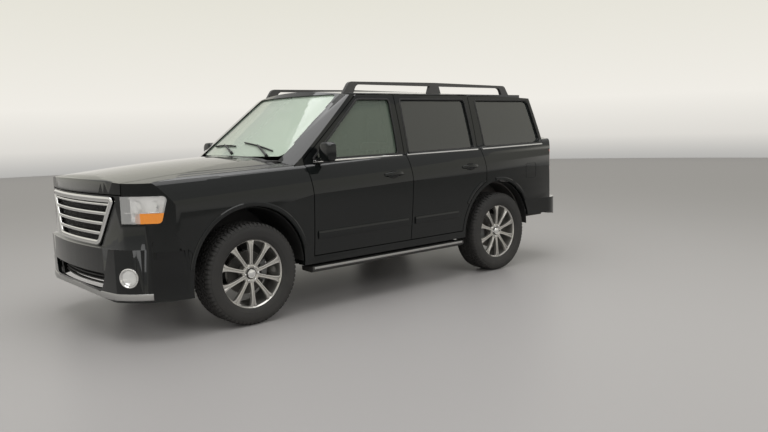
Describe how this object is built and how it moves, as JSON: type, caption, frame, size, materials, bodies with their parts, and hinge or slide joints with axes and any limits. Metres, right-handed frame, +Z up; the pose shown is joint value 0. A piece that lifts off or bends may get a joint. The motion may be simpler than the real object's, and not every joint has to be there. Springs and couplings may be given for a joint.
{
  "type": "sport utility vehicle",
  "caption": "Full-size black sport utility vehicle with a ladder frame, opening doors, hood and tailgate, and wheels that steer and roll.",
  "frame": {"origin": "on the ground under the centre of the overall box", "axes": "front faces -Y, +X is the vehicle's left side, +Z up"},
  "size_m": [2.196, 5.13, 1.944],
  "materials": {
    "body_paint": "gloss",
    "chrome_trim": "polished",
    "lamp_clear": "clear",
    "lamp_amber": "gloss",
    "lamp_red": "gloss",
    "glass_tinted": "clear",
    "glass_privacy": "clear",
    "rail_metal": "satin",
    "step_plastic": "satin",
    "cabin_plastic": "satin",
    "seat_leather": "satin",
    "floor_pan": "satin",
    "chassis_steel": "satin",
    "engine_iron": "rough",
    "radiator_metal": "satin",
    "exhaust_steel": "satin",
    "tank_plastic": "satin",
    "wheel_alloy": "satin",
    "tyre_rubber": "matte"
  },
  "bodies": {
    "car_body": {"floor": "floor_pan", "side_frames": "body_paint", "roof": "body_paint", "fenders": "body_paint", "front_cover": "body_paint", "grille": "chrome_trim", "headlamps": "lamp_clear", "marker_lamps": "lamp_amber", "fog_lamps": "lamp_clear", "rear_bumper": "body_paint", "tail_lamps": "lamp_red", "windshield": "glass_tinted", "quarter_windows": "glass_privacy", "roof_rails": "rail_metal", "running_boards": "step_plastic", "firewall": "cabin_plastic", "dashboard": "cabin_plastic", "seats": "seat_leather", "steering_wheel": "cabin_plastic", "chassis_frame": "chassis_steel", "hitch_receiver": "chassis_steel", "engine": "engine_iron", "radiator": "radiator_metal", "fuel_tank": "tank_plastic", "exhaust": "exhaust_steel", "front_suspension": "chassis_steel", "rear_axle": "chassis_steel", "spare_wheel": "tyre_rubber"},
    "front_door_left": {"front_door_left": "body_paint", "front_glass_left": "glass_tinted", "mirror_left": "body_paint"},
    "rear_door_left": {"rear_door_left": "body_paint", "rear_glass_left": "glass_privacy"},
    "front_door_right": {"front_door_right": "body_paint", "front_glass_right": "glass_tinted", "mirror_right": "body_paint"},
    "rear_door_right": {"rear_door_right": "body_paint", "rear_glass_right": "glass_privacy"},
    "hood": {"hood": "body_paint"},
    "tailgate": {"tailgate": "body_paint", "tailgate_glass": "glass_privacy"},
    "knuckle_left": {"knuckle_left": "chassis_steel"},
    "wheel_front_left": {"tyre_front_left": "tyre_rubber", "rim_front_left": "wheel_alloy"},
    "wheel_rear_left": {"tyre_rear_left": "tyre_rubber", "rim_rear_left": "wheel_alloy"},
    "knuckle_right": {"knuckle_right": "chassis_steel"},
    "wheel_front_right": {"tyre_front_right": "tyre_rubber", "rim_front_right": "wheel_alloy"},
    "wheel_rear_right": {"tyre_rear_right": "tyre_rubber", "rim_rear_right": "wheel_alloy"}
  },
  "joints": [
    {"name": "front_door_left_hinge", "type": "hinge", "parent": "car_body", "child": "front_door_left", "pos_m": [0.987, -0.87, 0.8], "axis": [0, 0, -1], "range_deg": [0, 65]},
    {"name": "rear_door_left_hinge", "type": "hinge", "parent": "car_body", "child": "rear_door_left", "pos_m": [0.987, 0.237, 0.8], "axis": [0, 0, -1], "range_deg": [0, 65]},
    {"name": "front_door_right_hinge", "type": "hinge", "parent": "car_body", "child": "front_door_right", "pos_m": [-0.987, -0.87, 0.8], "axis": [0, 0, 1], "range_deg": [0, 65]},
    {"name": "rear_door_right_hinge", "type": "hinge", "parent": "car_body", "child": "rear_door_right", "pos_m": [-0.987, 0.237, 0.8], "axis": [0, 0, 1], "range_deg": [0, 65]},
    {"name": "hood_hinge", "type": "hinge", "parent": "car_body", "child": "hood", "pos_m": [0, -1.235, 1.294], "axis": [-1, 0, 0], "range_deg": [0, 50]},
    {"name": "tailgate_hinge", "type": "hinge", "parent": "car_body", "child": "tailgate", "pos_m": [0, 2.185, 1.838], "axis": [1, 0, 0], "range_deg": [0, 80]},
    {"name": "steer_left", "type": "hinge", "parent": "car_body", "child": "knuckle_left", "pos_m": [0.787, -1.53, 0.405], "axis": [0, 0, 1], "range_deg": [-32, 32]},
    {"name": "wheel_front_left_spin", "type": "hinge", "parent": "knuckle_left", "child": "wheel_front_left", "pos_m": [0.865, -1.53, 0.405], "axis": [1, 0, 0], "continuous": true},
    {"name": "wheel_rear_left_spin", "type": "hinge", "parent": "car_body", "child": "wheel_rear_left", "pos_m": [0.865, 1.416, 0.405], "axis": [1, 0, 0], "continuous": true},
    {"name": "steer_right", "type": "hinge", "parent": "car_body", "child": "knuckle_right", "pos_m": [-0.787, -1.53, 0.405], "axis": [0, 0, 1], "range_deg": [-32, 32]},
    {"name": "wheel_front_right_spin", "type": "hinge", "parent": "knuckle_right", "child": "wheel_front_right", "pos_m": [-0.865, -1.53, 0.405], "axis": [1, 0, 0], "continuous": true},
    {"name": "wheel_rear_right_spin", "type": "hinge", "parent": "car_body", "child": "wheel_rear_right", "pos_m": [-0.865, 1.416, 0.405], "axis": [1, 0, 0], "continuous": true}
  ],
  "couplings": [
    {"joint": "steer_right", "follows": "steer_left", "ratio": 1}
  ]
}
